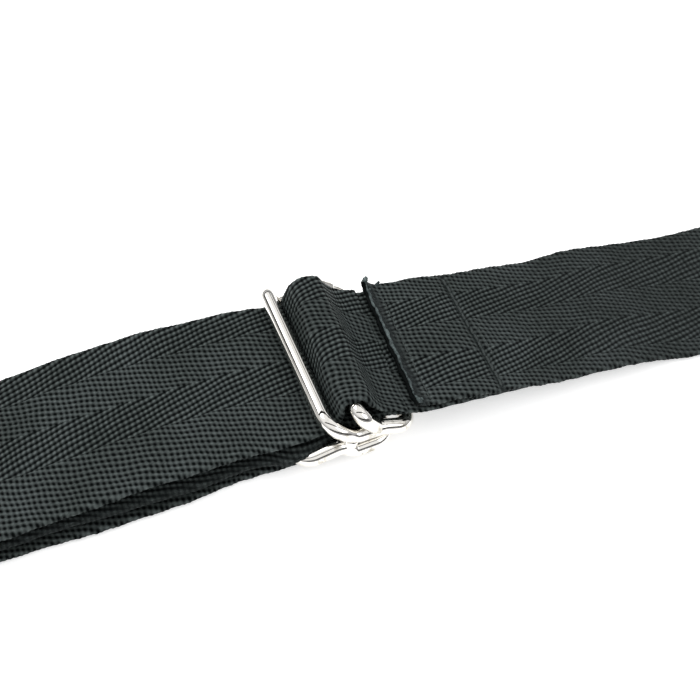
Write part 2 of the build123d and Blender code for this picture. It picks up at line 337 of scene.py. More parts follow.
def sample(pts, radii, step=0.05):
    """x, z, heading and length along a filleted path."""
    X, Z, A, S = [], [], [], []
    s0 = 0.0
    for k in pieces_of_path(pts, radii):
        if k[0] == "L":
            L = math.dist(k[1], k[2]); n = max(2, int(L / step))
            f = np.arange(n) / n
            a = math.atan2(k[2][1] - k[1][1], k[2][0] - k[1][0])
            X.append(k[1][0] + f * L * math.cos(a)); Z.append(k[1][1] + f * L * math.sin(a)); A.append(np.full(n, a)); S.append(s0 + f * L)
        else:
            _, s, c, r, side, a, turn = k
            L = r * turn; n = max(2, int(L / step))
            f = np.arange(n) / n
            h = a + side * turn * f
            X.append(c[0] + side * r * np.sin(h)); Z.append(c[1] - side * r * np.cos(h)); A.append(h); S.append(s0 + f * L)
        s0 += L
    return [np.concatenate(v) for v in (X, Z, A, S)], s0


def mesh_from(name, verts, quads, mat, tris=None, smooth=True):
    me = bpy.data.meshes.new(name)
    nq = len(quads); nt_ = 0 if tris is None else len(tris)
    me.vertices.add(len(verts))
    me.vertices.foreach_set("co", (verts * MM).astype(np.float32).ravel())
    loops = quads.astype(np.int32).ravel()
    starts = np.arange(nq) * 4
    if nt_:
        loops = np.concatenate([loops, tris.astype(np.int32).ravel()])
        starts = np.concatenate([starts, nq * 4 + np.arange(nt_) * 3])
    me.loops.add(len(loops)); me.loops.foreach_set("vertex_index", loops)
    me.polygons.add(nq + nt_); me.polygons.foreach_set("loop_start", starts.astype(np.int32))
    me.polygons.foreach_set("use_smooth", np.full(nq + nt_, smooth))
    me.materials.append(mat)
    me.update(calc_edges=True); me.validate()
    ob = bpy.data.objects.new(name, me)
    bpy.context.scene.collection.objects.link(ob)
    return ob


def waves(s, y, amp, seed, scale=1.0):
    """Slow, smooth, seeded waviness."""
    r = np.random.default_rng(seed)
    out = 0
    for i in range(6):
        ls, ly = r.uniform(28, 90) * scale, r.uniform(30, 110) * scale
        out = out + r.uniform(0.3, 1.0) * np.sin(2 * np.pi * (s / ls + y / ly * r.choice([-1, 1])) + r.uniform(0, 6.28))
    return amp * out / 3.0


def warp(s, y, seed):
    """The yarns wander a little: slow and fine, along and across."""
    r = np.random.default_rng(seed + 900)
    p = r.uniform(0, 6.28, 8)
    a = 0.55 * np.sin(s / 9.0 + y / 14.0 + p[0]) + 0.45 * np.sin(s / 17.0 - y / 8.0 + p[1]) + 0.16 * np.sin(s / 1.9 + y / 2.7 + p[2]) + 0.12 * np.sin(y / 1.3 - s / 3.1 + p[3])
    b = 0.30 * np.sin(s / 11.0 - y / 9.0 + p[4]) + 0.25 * np.sin(s / 23.0 + y / 6.0 + p[5]) + 0.13 * np.sin(s / 2.3 - y / 3.1 + p[6])
    return s + a * 0.8, y + b


def strip(name, pts, radii, fine, thick=WEB_T, s_off=0.0, y_off=3.0, melt_start=0.0, melt_end=0.0, grooves=(), deform=None, seed=1, amp=0.30, step=0.36, coarse=1.1, thickness=None, wavy=0.15, flip_y=0.0, soften=None, painted_shade_band=0.0):
    """A woven strip: fine rows where the twill is raised in the mesh, coarser rows elsewhere."""
    (X, Z, A, S), L = sample(pts, radii)
    idx, i = [], 0
    ds = S[1] - S[0] if len(S) > 1 else 0.05
    curv = np.abs(np.gradient(A, np.maximum(S, 0) + np.arange(len(S)) * 1e-9))
    nxt = 0.0
    for j in range(len(S)):
        if S[j] + 1e-9 >= nxt:
            idx.append(j)
            inside = fine and fine[0] < X[j] < fine[1]
            nxt = S[j] + (step if inside else (0.4 if curv[j] > 0.05 else coarse))
    if idx[-1] != len(S) - 1:
        idx.append(len(S) - 1)
    X, Z, A, S = X[idx], Z[idx], A[idx], S[idx]
    m = 134
    # columns crowd towards the selvedges
    g = np.linspace(-1, 1, m + 1)
    yy = WEB_W / 2 * np.sign(g) * (1 - (1 - np.abs(g)) ** 1.06)
    d = WEB_W / 2 - np.abs(yy)
    r = 0.85
    ht = np.where(d < r, np.sqrt(np.clip(1 - ((r - d) / r) ** 2, 0, 1)), 1.0)
    cols = np.concatenate([np.arange(m + 1), np.arange(m - 1, 0, -1)])
    side = np.concatenate([np.ones(m + 1), -np.ones(m - 1)])
    yc, hc = yy[cols], ht[cols]
    side_full = side.copy(); side_full[0] = 0; side_full[m] = 0
    SS, YY = np.meshgrid(S + s_off, yc, indexing="ij")
    WS, WY = warp(SS, YY, seed)
    WY = WY + y_off + 11.0 * (side[None, :] < 0)
    H = weave_height(WS, WY)
    if fine:
        fade = np.clip(1 - np.maximum(fine[0] + 4 - X, X - fine[1] + 4) / 10.0, 0, 1)
    else:
        fade = np.zeros(len(X))
    mask = np.zeros_like(SS)
    if melt_start:
        mask = np.maximum(mask, np.clip(1.25 - (S[:, None] + 0.30 * np.sin(YY * 1.7) + 0.35 * np.sin(YY * 0.63 + 1)) / melt_start, 0, 1))
    if melt_end:
        mask = np.maximum(mask, np.clip(1.25 - (L - S[:, None]) / melt_end, 0, 1))
    if soften is not None:
        mask = np.maximum(mask, soften(X)[:, None])
    # along a deep stitch groove the weave is pressed smooth, and the groove is painted dark as shade
    for gs, depth, width in grooves:
        if depth > 0.5:
            mask = np.maximum(mask, 0.72 * np.exp(-((S[:, None] - gs + 0.15 - 0.12 * np.sin(YY * 1.9)) / (width * 1.15)) ** 4) * (side[None, :] > 0))
    # painted shade: a smooth dark band on the fold's upper layer along its near edge, where the top layer's shadow
    # falls
    if painted_shade_band:
        mask = np.maximum(mask, painted_shade_band * np.clip((-yc - 21.5) / 2.2, 0, 1)[None, :] * (Z > 2.5)[:, None])
    t_half = np.full(len(S), thick / 2) if thickness is None else thickness(S, L) / 2
    if melt_start:
        t_half = t_half * (1 - 0.35 * np.exp(-((S - melt_start * 0.75) / 1.0) ** 2))
    A_amp = amp * fade[:, None] * (1 - mask)
    off = side_full[None, :] * (t_half[:, None] * hc[None, :] + A_amp * (H - 0.5) * np.clip(hc[None, :] * 1.4 - 0.3, 0, 1))
    gdepth = np.zeros_like(SS)
    for gs, depth, width in grooves:
        line = gs + 0.0 * YY
        gdepth += depth * np.exp(-((S[:, None] - line) / width) ** 2)
    off -= np.sign(side_full)[None, :] * gdepth * np.clip(hc[None, :] * 1.2 - 0.2, 0, 1) * (side_full[None, :] > 0)
    # selvedge: each pick pulls the edge in a little
    e = np.clip(1 - d[cols] / 2.2, 0, 1)[None, :] ** 2 * np.sign(yc)[None, :]
    tooth = (0.5 + 0.5 * np.cos(2 * np.pi * PICK * SS + (yc[None, :] > 0) * 1.4)) * (0.75 + 0.35 * np.sin(SS * 1.31 + np.sin(SS * 0.37)))
    rs = np.random.default_rng(seed)
    ph = rs.uniform(0, 6.28, 4)
    slow = 0.13 * np.sin(SS / 1.15 + 2.0 * np.sin(SS / 6.0 + ph[3])) + 0.22 * np.sin(SS / 9.1 + ph[0]) + 0.18 * np.sin(SS / 3.9 + ph[1]) + 0.16 * np.sin(SS / 21.0 + ph[2] + (yc[None, :] > 0) * 2.0)
    YP = YY + e * (0.20 + 0.25 * tooth * fade[:, None] + slow)
    PXs = X[:, None] - np.sin(A)[:, None] * off
    PZs = Z[:, None] + np.cos(A)[:, None] * off
    if wavy:
        wv = waves(SS, YY, wavy, seed)
        PZs = PZs + wv * np.clip(np.cos(A)[:, None], 0, 1) if deform is None else PZs
    P = np.stack([PXs, YP + flip_y, PZs], -1)
    if deform is not None:
        P = deform(P, SS, YY, side_full[None, :])
    n, k = P.shape[0], P.shape[1]
    verts = P.reshape(-1, 3)
    a = np.arange(n - 1)[:, None] * k + np.arange(k)[None, :]
    b = np.arange(n - 1)[:, None] * k + (np.arange(k)[None, :] + 1) % k
    quads = np.stack([a, b, b + k, a + k], -1).reshape(-1, 4)
    # end caps join the upper row to the lower row
    caps = []
    for base, rev in ((0, False), ((n - 1) * k, True)):
        for j in range(m):
            lo0 = (k - j) % k; lo1 = (k - j - 1) % k if j < m - 1 else m
            q = [base + j, base + lo0, base + lo1, base + j + 1]
            if j == 0: continue
            if j == m - 1: continue
            caps.append(q[::-1] if rev else q)
    tri = []
    for base, rev in ((0, False), ((n - 1) * k, True)):
        t1 = [base + 0, base + k - 1, base + 1]
        t2 = [base + m - 1, base + m + 1, base + m]
        for t in (t1, t2):
            tri.append(t[::-1] if rev else t)
    quads = np.concatenate([quads, np.array(caps)])
    # outward faces: the loop runs +Y over the top, so flip
    ob = mesh_from(name, verts, quads[:, ::-1], M_WEB, np.array(tri)[:, ::-1])
    at = ob.data.attributes.new("weave", "FLOAT_VECTOR", "POINT")
    mk = np.maximum(mask, 0.0)
    data = np.stack([WS, WY, mk], -1).reshape(-1, 3)
    at.data.foreach_set("vector", data.astype(np.float32).ravel())
    ob["len_mm"] = float(L)
    return ob, L


def tube(name, P, r, mat, closed=False, seg=28, cap=True, rfun=None):
    """A round section carried along points P (mm)."""
    P = np.asarray(P, float)
    n = len(P)
    T = np.roll(P, -1, 0) - np.roll(P, 1, 0) if closed else np.gradient(P, axis=0)
    T /= np.linalg.norm(T, axis=1)[:, None]
    N = np.zeros_like(P)
    ref = np.array([0, 0, 1.0]) if abs(T[0, 2]) < 0.9 else np.array([1.0, 0, 0])
    v = np.cross(T[0], ref); v /= np.linalg.norm(v)
    N[0] = v
    for i in range(1, n):
        v = N[i - 1] - T[i] * np.dot(N[i - 1], T[i]); N[i] = v / np.linalg.norm(v)
    if closed:
        v = N[-1] - T[0] * np.dot(N[-1], T[0]); v /= np.linalg.norm(v)
        ang = math.atan2(np.dot(np.cross(v, N[0]), T[0]), np.dot(v, N[0]))
        for i in range(n):
            q = ang * i / n
            N[i] = N[i] * math.cos(q) + np.cross(T[i], N[i]) * math.sin(q)
    Bn = np.cross(T, N)
    th = np.linspace(0, 2 * np.pi, seg, endpoint=False)
    rad = np.full(n, r) if rfun is None else rfun(np.linspace(0, 1, n)) * r
    V = P[:, None] + rad[:, None, None] * (np.cos(th)[None, :, None] * N[:, None] + np.sin(th)[None, :, None] * Bn[:, None])
    verts = V.reshape(-1, 3)
    rows = n if closed else n - 1
    i = np.arange(rows)[:, None]; j = np.arange(seg)[None, :]
    i2 = (i + 1) % n; j2 = (j + 1) % seg
    quads = np.stack([i * seg + j, i * seg + j2, i2 * seg + j2, i2 * seg + j], -1).reshape(-1, 4)
    tris = None
    if not closed and cap:
        verts = np.vstack([verts, P[0] - T[0] * rad[0] * 0.35, P[-1] + T[-1] * rad[-1] * 0.35])
        a, b = len(verts) - 2, len(verts) - 1
        t = [[a, (j + 1) % seg, j] for j in range(seg)] + [[b, (n - 1) * seg + j, (n - 1) * seg + (j + 1) % seg] for j in range(seg)]
        tris = np.array(t)
    return mesh_from(name, verts, quads, mat, tris)


def space_path(pts, radii, closed, step=0.35):
    n = len(pts); P = [np.array(p, float) for p in pts]
    cut, out = {}, []
    for i in (range(n) if closed else range(1, n - 1)):
        a, b, c = P[i - 1], P[i], P[(i + 1) % n]
        u = (a - b) / np.linalg.norm(a - b); v = (c - b) / np.linalg.norm(c - b)
        ang = math.acos(max(-1, min(1, float(u @ v))))
        r = radii[i] if closed else radii[i - 1]
        t = r / math.tan(ang / 2)
        bis = (u + v) / np.linalg.norm(u + v)
        cut[i] = (b + u * t, b + v * t, b + bis * r / math.sin(ang / 2), r, math.pi - ang)
    for k in range(n if closed else n - 1):
        i, j = k, (k + 1) % n
        s = cut[i][1] if i in cut else P[i]
        e = cut[j][0] if j in cut else P[j]
        L = np.linalg.norm(e - s)
        if L > 1e-4:
            m = max(2, int(L / step))
            out += [s + (e - s) * q / m for q in range(m)]
        if j in cut:
            s, e, c, r, turn = cut[j]
            m = max(4, int(r * turn / step))
            a0 = s - c; b0 = e - c
            w = math.acos(max(-1, min(1, float(a0 @ b0) / (r * r))))
            for q in range(m):
                f = q / m
                out.append(c + (a0 * math.sin((1 - f) * w) + b0 * math.sin(f * w)) / math.sin(w))
    if not closed:
        out.append(P[-1])
    return np.array(out)


def join(name, obs):
    for o in bpy.context.selected_objects:
        o.select_set(False)
    for o in obs:
        o.select_set(True)
    bpy.context.view_layer.objects.active = obs[0]
    if len(obs) > 1:
        bpy.ops.object.join()
    obs[0].name = name; obs[0].data.name = name
    obs[0].select_set(False)
    return obs[0]


def stitch(p, q, up, r=0.36, seed=0):
    """One stitch that comes out of the cloth at p and goes back in at q."""
    p, q, up = (np.array(v, float) for v in (p, q, up))
    rr = np.random.default_rng(seed)
    f = np.linspace(0, 1, 11)
    arc = (np.sin(np.pi * f) ** 0.5)[:, None] * up * 0.34 - up * 0.30
    side = np.cross(q - p, up); side /= np.linalg.norm(side) + 1e-9
    P = p + (q - p) * f[:, None] + arc + side * (rr.normal(0, 0.07) + 0.05 * np.sin(f * 6.28 + rr.uniform(0, 6))[:, None])
    return tube("stitch", P, r, M_THREAD, seg=10, rfun=lambda t: 0.8 + 0.2 * np.sin(np.pi * t))


FINE = (-128.0, 150.0)


def knots(x, table):
    a = np.array(table)
    k = np.arange(a[0, 0], a[-1, 0] + 1.0, 1.0)
    v = np.interp(k, a[:, 0], a[:, 1])
    w = np.hanning(15); w /= w.sum()
    v = np.convolve(np.pad(v, 7, "edge"), w, "valid")
    return np.interp(x, k, v)


# how the top layer lies: sideways, up, tipped to one side, and let out a little
SIDE = [(-330, 0), (-200, 0), (-180, -0.3), (-150, -1.6), (-115, -4.8), (-95, -4.6), (-88, -4.0), (-76, -2.6), (-62, -0.9), (-49, 0.3), (-36, 0.7), (-20, 0.8), (-8, 0.4), (2, 0), (12, -0.3), (20, -0.9), (27, -1.9),
        (34, -1.6), (42, -1.7), (50, -1.7), (58, -1.3), (67, -0.9), (76, -0.5), (84, -0.3), (94, -0.1), (102, 0), (109, -0.2), (117, -0.9), (126, -1.5), (135, -2.1), (143, -2.5), (160, -2.4), (200, -1.0), (240, 0), (470, 0)]
RISE = [(-330, 0), (24, 0), (28, -0.3), (34, -1.1), (42, -1.4), (50, -1.1), (58, -0.9), (67, -0.5), (76, -0.1), (84, 1.0), (94, 2.8), (101, 2.2), (109, 0.6), (117, 0.1), (126, 0), (470, 0)]
TIP = [(-330, 0), (-200, 0), (-130, 0.2), (-90, 0.4), (-76, 0.5), (-62, 0.7), (-49, 0.8), (-36, 1.1), (-20, 0.7), (-8, 0.8), (0, 0.2), (8, 0), (20, 0), (28, -0.5), (34, -0.9), (42, -1.0), (50, -0.7), (58, -0.6), (67, -0.4),
       (76, -0.7), (84, -1.1), (94, -0.7), (101, 0), (109, 0.5), (117, 0.3), (126, 0), (470, 0)]
WIDER = [(-330, 0), (-150, 0), (-110, 0.9), (-60, 1.0), (-38, 1.5), (-20, 1.0), (-8, 0.6), (-1, 0), (36, 0), (50, -0.6), (470, -0.6)]
LOWER_SIDE = [(-330, 0), (-166, 0), (-150, -1.4), (-115, -5.0), (-90, -4.7), (-84, -4.4), (-77, -4.3), (-71, -4.0), (-57, -3.4), (-50, -2.9), (-43, -2.4), (-36, -2.0), (-29, -1.0), (-22, -0.2), (-12, 0), (30, 0)]


def lie(P, x, Yc, wider=True):
    """Moves a strip the way the top layer lies, never below the floor."""
    if wider:
        P[..., 1] += Yc / 25.0 * knots(x, WIDER)
    P[..., 1] += knots(x, SIDE)
    up = knots(x, RISE) + knots(x, TIP) * Yc / 25.0
    mid = P[..., 2].mean(axis=-1, keepdims=True)
    P[..., 2] += np.maximum(up, np.minimum(0, 0.82 - mid))
    # the near edge rides up over the side rail beside the slider
    P[..., 2] += 1.5 * np.exp(-((x - 17.5) / 6.0) ** 2) * np.clip((-Yc - 18.0) / 7.0, 0, 1) ** 1.5
    return P

# ------------------------------------------------------------------ webbing of the shoulder end, with its cut end
SLOPE_TOP, SLOPE_FOOT = (42.0, SH_Z), (94.0, 0.8)
ang = math.atan2(SLOPE_FOOT[1] - SLOPE_TOP[1], SLOPE_FOOT[0] - SLOPE_TOP[0])
down = (math.sin(ang), -math.cos(ang))
ROW1, ROW2 = 3.9, 25.7


def skew(y, s, reach=22.0):
    """The cut isn't square to the strap: its far end stands further along."""
    return (0.6 + 1.25 * y / 25.0) * np.clip(1 - s / reach, 0, 1)


def shoulder_shape(P, S, Yc, side):
    x, s = P[..., 0].copy(), S
    P[..., 0] += skew(Yc, s, 60.0) + 0.16 * np.exp(-s / 1.5) * (np.sin(Yc * 0.7) + 0.5 * np.sin(Yc * 1.9 + 1))
    # the cut end stands proud, its far corner curls up
    far = np.exp(-s / 2.6) * np.clip((Yc - 20.0) / 5.0, 0, 1) ** 2
    near = np.exp(-s / 3.0) * np.clip((-Yc - 21.0) / 4.0, 0, 1) ** 2
    P[..., 2] += 2.3 * far + 0.7 * near + 1.25 * np.exp(-s / 2.8)
    P[..., 1] -= 0.9 * far
    # a soft dip before the second row, slow waves further on
    P[..., 2] += 0.25 * np.sin((s - 6) / 17.0 * np.pi) * np.clip((s - 6) / 2, 0, 1) * np.clip((23 - s) / 2, 0, 1)
    out = np.clip((s - 130) / 40, 0, 1)
    P[..., 2] += out * (0.5 + 0.5 * np.sin(x / 23.0 + Yc / 34.0)) * 0.9
    P = lie(P, x, Yc, wider=False)
    return P


shoulder, L_sh = strip("shoulder_strap_webbing",
    [(LAP_X, SH_Z), SLOPE_TOP, SLOPE_FOOT, (378.0, WEB_T / 2 + 0.05), (388.0, LEATHER_MID), (SH_END, LEATHER_MID)],
    [60.0, 80.0, 12.0, 12.0], FINE, melt_start=2.9, y_off=7.4,
    grooves=[(ROW1, 0.30, 0.7), (ROW2, 0.62, 0.85), (ROW2 - 1.3, 0.20, 0.5)], deform=shoulder_shape, seed=11, soften=lambda x: 0.34 * np.clip((x - 38.0) / 70.0, 0, 1))
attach(shoulder, "strap"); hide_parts("shoulder_webbing")
L_sh * MM

# the melted bead along the cut, with an ear at the far corner and a smaller one beside it
def edge_line(y, s, h):
    """A line on the upper face of the shoulder webbing, s from the cut and h above it."""
    P = np.zeros((1, len(y), 3)); P[0, :, 0] = LAP_X + s; P[0, :, 1] = y; P[0, :, 2] = SH_Z
    P = shoulder_shape(P, np.full((1, len(y)), 1.0 * s), y[None, :], None)[0]
    P[:, 2] += WEB_T / 2 * 0.62 + h
    return P


by = np.linspace(-24.9, 24.9, 330)
rb = np.random.default_rng(77)
kn = np.interp(by, np.linspace(-25, 25, 24), rb.uniform(-1, 1, 24)); kn2 = np.interp(by, np.linspace(-25, 25, 90), rb.uniform(-1, 1, 90))
line = edge_line(by, 0.12, 0.16)
line[:, 0] += 0.13 * kn; line[:, 2] += 0.10 * kn + 0.05 * kn2
thick_ = np.interp(by, np.linspace(-25, 25, 30), rb.uniform(0.50, 1.20, 30)) + 0.20 * kn2 + 0.45 * np.exp(-((by + 23.6) / 1.1) ** 2) + 0.15 * np.exp(-((by - 2.0) / 5.0) ** 2)
bead = tube("cut_edge_bead", line, 0.41, M_MELT, seg=14, rfun=lambda t: np.interp(t, np.linspace(0, 1, len(thick_)), thick_))
tip = line[-1]
e_t = np.linspace(0, 1, 26)
ear = tube("cut_ear", tip + np.stack([0.5 * e_t + 0.4 * e_t ** 2, 0.2 * e_t, -0.9 + 1.7 * e_t + 0.3 * np.sin(e_t * 3)], 1), 0.70, M_MELT, seg=14, rfun=lambda t: 1.30 - 0.60 * t ** 2 + 0.12 * np.sin(t * 15))
e_y = np.full(24, 24.4)
nub = edge_line(e_y, 3.9, 0.0); nub[:, 0] += np.linspace(-0.4, 0.8, 24); nub[:, 2] += np.linspace(-0.4, 1.2, 24)
nub = tube("cut_nub", nub, 0.50, M_MELT, seg=12, rfun=lambda t: 1.25 - 0.5 * t)
lumps = []
for k, (yy_, ds) in enumerate(((-24.3, 0.7), (-23.1, 1.3), (23.6, 1.4), (22.2, 0.9))):
    q = edge_line(np.linspace(yy_ - 0.5, yy_ + 0.6, 12), ds, -0.05)
    lumps.append(tube("lump", q, 0.42, M_MELT, seg=10, rfun=lambda t: 0.6 + 0.7 * np.sin(np.pi * t)))
# a near-black tube in front of and below the cut: the cut face, and painted shade beneath the lip
face = edge_line(by, -0.42, -0.92); face[:, 0] += 0.10 * kn2
face = tube("cut_face", face, 0.72, M_CUT_FACE_SHADE, seg=12)
bead = join("cut_edge_bead", [bead, ear, nub, face] + lumps)
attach(bead, "strap")

# ------------------------------------------------------------------ adjuster run
gap = WEB_T + 0.1
on_slope = (SLOPE_TOP[0] + gap * down[0], SLOPE_TOP[1] + gap * down[1])
bend_x = on_slope[0] + (MID - on_slope[1]) / math.tan(ang)
end_z = MID + (adj_hi[0] - bend_x) * math.tan(ang)


def run_shape(P, S, Yc, side):
    x = P[..., 0].copy()
    left = np.clip((-x - 8) / 60, 0, 1)
    left = left * left * (3 - 2 * left)
    calm = np.clip((x + 318) / 30, 0, 1)
    # away from the slider the run waves slowly
    P[..., 2] += left * calm * (0.35 * np.sin(x / 26.0 + 0.8) + 0.20 * np.sin(x / 17.0 - Yc / 15.0))
    # through the slider the webbing is cupped by the wire
    P[..., 1] += 1.9 * np.clip((x - 46.0) / 20.0, 0, 1)
    cup = np.exp(-((x - 1.0) / 6.0) ** 2)
    P[..., 2] -= cup * 0.30 * (1 - (Yc / 25.0) ** 2)
    return lie(P, x, Yc)


run, L_run = strip("adjuster_strap_webbing", [(RING[0] + 2.8, MID), (bend_x, MID), (adj_hi[0], end_z)],
    [60.0 - gap], (-128.0, 30.0), deform=run_shape, seed=5, s_off=3.0, y_off=-3.1)
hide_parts("adjuster_webbing")
(RING[0] + 6.0) * MM
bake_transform(run)
L_run * MM

# ------------------------------------------------------------------ hump over the raised bar
def hump_thick(S, L):
    """Thin where it comes up beside the bar and where its foot runs out on the strap."""
    return np.minimum(0.45 + 1.05 * np.clip(S / 2.0, 0, 1) ** 0.8, 0.24 + 1.26 * np.clip((L - S) / 6.5, 0, 1) ** 0.9)


def hump_shape(P, S, Yc, side):
    # the bar inside it is a little askew, and so is the crease of its foot
    x, z = P[..., 0].copy(), P[..., 2].copy()
    f = np.clip((z - 12.0) / 7.0, 0, 1)
    P[..., 0] += f * 1.1 * Yc / 25.0 + np.clip((x - 12.0) / 5.0, 0, 1) * (1 - f) * (1.35 * Yc / 25.0 + 0.5)
    P[..., 2] += 0.14 * np.sin(Yc / 5.3 + 0.7) * f
    # its ends sag and close round the bar where it bends down to the rails
    n = np.clip((np.abs(Yc) - 18.5) / 6.5, 0, 1) ** 2 * np.where(Yc < 0, 1.0, 0.25)
    P[..., 2] -= f * n * 0.95
    cx = 9.7 + 1.1 * Yc / 25.0
    P[..., 0] += (cx - x) * n * 0.17 * np.clip((z - 12.6) / 4.0, 0, 1)
    # the near end is drawn down in front of the bar, on both sides of it
    m = np.clip((-Yc - 19.0) / 6.0, 0, 1) ** 1.5
    P[..., 1] += 1.3 * m * np.clip((z - 17.0) / 3.0, 0, 1)
    return lie(P, x, Yc, wider=False)


hump, L_h = strip("hump_over_bar", [(3.75, RUN_TOP + 0.30), (4.35, 14.4), (6.05, 19.87), (13.2, 19.87), (17.2, 12.5), (24.3, RUN_TOP + 0.14)],
    [1.5, 3.3, 3.3, 5.0], (-50, 50), thickness=hump_thick, deform=hump_shape, seed=8, s_off=331.0, y_off=-3.1, step=0.30)
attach(hump, "slider"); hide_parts("hump_webbing")
L_h * MM

# ------------------------------------------------------------------ fold round the lower middle bar
r = WIRE / 2 + 0.05 + WEB_T / 2


def fold_shape(P, S, Yc, side):
    x = P[..., 0].copy()
    left = np.clip((-x - 10) / 70, 0, 1) * np.clip((x - FOLD_END + 30) / 60, 0, 1)
    upper = np.clip((P[..., 2] - 2.4) / 1.2, 0, 1)
    P[..., 1] += knots(x, LOWER_SIDE) + left * upper * (0.7 + 0.5 * np.sin(x / 16.0))
    P[..., 2] += left * upper * (0.5 + 0.4 * np.sin(x / 14.0 + Yc / 21.0))
    drape = np.exp(-((x + 9.0) / 8.0) ** 2) * np.clip((-Yc - 14.0) / 11.0, 0, 1) * np.clip((P[..., 2] - 3.0) / 1.5, 0, 1)
    P[..., 1] -= 3.6 * drape
    P[..., 2] -= 0.8 * drape ** 2
    return P


fold, L_f = strip("return_webbing_layers",
    [(FOLD_END, WEB_T / 2), (-4.0, WEB_T / 2), (1.6, LO_C[1] - r), (LO_C[0] + r, LO_C[1] - r),
     (LO_C[0] + r, LO_C[1] + r), (LO_C[0] - 1.0, LO_C[1] + r), (LO_L[0], LO_L[1] + r + 0.15),
     (-22.0, 3.6 + WEB_T / 2), (FOLD_END, 3.6 + WEB_T / 2)],
    [6.0, 6.0, r, r, 8.0, 8.0, 20.0], (-128.0, 20.0), deform=fold_shape, seed=21, s_off=90.0, amp=0.26, y_off=8.0, painted_shade_band=0.45)
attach(fold, "slider"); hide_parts("return_webbing_fold")
L_f * MM

# ------------------------------------------------------------------ turn round the ring
rr_ = (MID - RING[1])
turn, L_t = strip("ring_turn_strap",
    [(RING[0] + 2.8, MID), (RING[0] - rr_, MID), (RING[0] - rr_, RING[1] - rr_), (RET_END, RING[1] - rr_)],
    [rr_ * 0.999, rr_ * 0.999], None, seed=31, s_off=500.0, wavy=0.0)
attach(turn, "ring"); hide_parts("ring_turn_webbing")
L_t * MM

# ------------------------------------------------------------------ tail loop
tr, lap = WIRE / 2 + 0.3 + WEB_T / 2, 2.27
tail, L_ta = strip("tail_loop_webbing",
    [(TAIL_END, LEATHER_MID), (-386.0, LEATHER_MID), (-378.0, WEB_T / 2), (TAIL[0] + tr, WEB_T / 2),
     (TAIL[0] + tr, TAIL[1] + tr), (TAIL[0] - 2.0, TAIL[1] + tr), (-357.0, lap + 0.03), (-374.5, lap + 0.03)],
    [9.0, 9.0, tr * 0.999, tr * 0.999, 8.0, 14.0], (-400.0, -330.0), seed=41, s_off=700.0, melt_end=1.8, wavy=0.0, step=0.5)
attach(tail, "tail"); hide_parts("tail_webbing")
L_ta * MM

# ------------------------------------------------------------------ sewing
def row(name, n, point, up, body, nodes, jitter=0.08, seed=0, share=0.90, r=0.36, extra=()):
    """A row of n stitches; point(f) gives the surface at f along the row."""
    out, r0 = [], np.random.default_rng(seed)
    for i in range(n):
        a, b = i / n, (i + share) / n
        p, q = np.array(point(a), float), np.array(point(b), float)
        j = r0.normal(0, jitter, 2)
        p[0] += j[0]; q[0] += j[1]
        out.append(stitch(p, q, up, r=r, seed=seed * 100 + i))
    for k, (pt, a, b) in enumerate(extra):
        out.append(stitch(pt(a), pt(b), up, r=0.24, seed=seed * 100 + 60 + k))
    o = join(name, out)
    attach(o, body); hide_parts(*nodes)
    return o


def lap_point(s, depth):
    def f(t):
        y = -23.2 + 46.4 * t
        (X, Z, A, S), L = lap_path
        k = int(np.searchsorted(S, s))
        P = np.array([[[X[k] - math.sin(A[k]) * (WEB_T / 2 - depth), y, Z[k] + math.cos(A[k]) * (WEB_T / 2 - depth)]]])
        P = shoulder_shape(P, np.array([[S[k]]]), np.array([[y]]), np.array([[1.0]]))
        return P[0, 0]
    return f


lap_path = sample([(LAP_X, SH_Z), SLOPE_TOP, SLOPE_FOOT, (378.0, 0.8)], [60.0, 80.0])
row("lap_stitches_front", 15, lap_point(ROW1, 0.36), (0, 0, 1), "strap", ["lap_stitch_row_front"], seed=3, r=0.25)
row("lap_stitches_rear", 15, lap_point(ROW2, 0.34), (0, 0, 1), "strap", ["lap_stitch_row_rear"], seed=4, r=0.42, extra=[(lap_point(ROW2 + 2.3, 0.05), 0.26 + 0.062 * k, 0.26 + 0.062 * (k + 0.9)) for k in range(4)])
rows = []
fz = 3.6 + WEB_T
for k, x in enumerate((-40.0, -62.0)):
    for i in range(12):
        y = -21.0 + 42.0 * i / 12
        rows.append(stitch((x, y, fz + 0.85), (x, y + 2.9, fz + 0.85), (0, 0, 1), seed=50 + i + 20 * k))
o = join("fold_stitch_rows", rows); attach(o, "slider"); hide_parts("fold_stitches")
rows = []
for k, x in enumerate((-362.5, -371.5)):
    for i in range(13):
        y = -22.0 + 44.0 * i / 13
        rows.append(stitch((x, y, lap + WEB_T / 2 + 0.10), (x, y + 2.9, lap + WEB_T / 2 + 0.10), (0, 0, 1), seed=90 + i + 20 * k))
o = join("tail_loop_stitches", rows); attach(o, "tail"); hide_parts("tail_stitches")

# ------------------------------------------------------------------ wire hardware
def blob(p, r, sq=(1, 1, 1), seed=0):
    bm = bmesh.new()
    bmesh.ops.create_uvsphere(bm, u_segments=26, v_segments=16, radius=1.0)
    me = bpy.data.meshes.new("blob"); bm.to_mesh(me); bm.free()
    for q in me.polygons: q.use_smooth = True
    co = np.array([v.co for v in me.vertices])
    n = 1 + 0.06 * np.sin(co[:, 0] * 5 + seed) * np.sin(co[:, 1] * 4 + seed * 2) 
    co = co * n[:, None] * np.array(sq) * r + np.array(p)
    me.vertices.foreach_set("co", (co * MM).astype(np.float32).ravel())
    me.materials.append(M_CHROME)
    o = bpy.data.objects.new("blob", me); bpy.context.scene.collection.objects.link(o)
    return o


